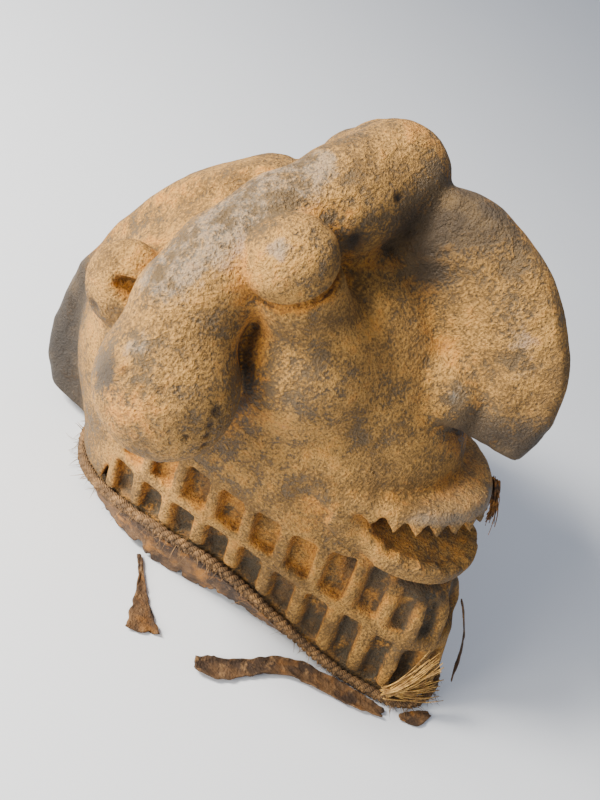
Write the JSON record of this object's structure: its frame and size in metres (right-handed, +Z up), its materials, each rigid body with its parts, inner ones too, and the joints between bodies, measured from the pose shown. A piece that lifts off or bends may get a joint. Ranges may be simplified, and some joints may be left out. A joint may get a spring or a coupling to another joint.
{
  "type": "helmet mask",
  "caption": "Carved wooden helmet mask with a horn yoke ending in balls, stub eyes, hooked nose, toothed open mouth, beard grid and crest, plaited cord round the rim.",
  "frame": {"origin": "on the floor plane and the mid plane, below the middle of the whole", "axes": "+Z up from the rim, -Y towards the face, +X towards the mask's left"},
  "size_m": [0.342, 0.4049, 0.336],
  "materials": {
    "carved_wood": "matt, earth dusted",
    "plaited_fibre": "matt",
    "bark_strip": "matt",
    "dry_straw": "matt"
  },
  "bodies": {
    "root": {"helmet": "carved_wood", "rim_cord": "plaited_fibre", "bark_band": "bark_strip", "bark_hanging": "bark_strip", "bark_floor": "bark_strip", "bark_chin": "bark_strip", "bark_side": "bark_strip", "straw_tuft": "dry_straw", "lip_tuft": "bark_strip"}
  },
  "joints": []
}
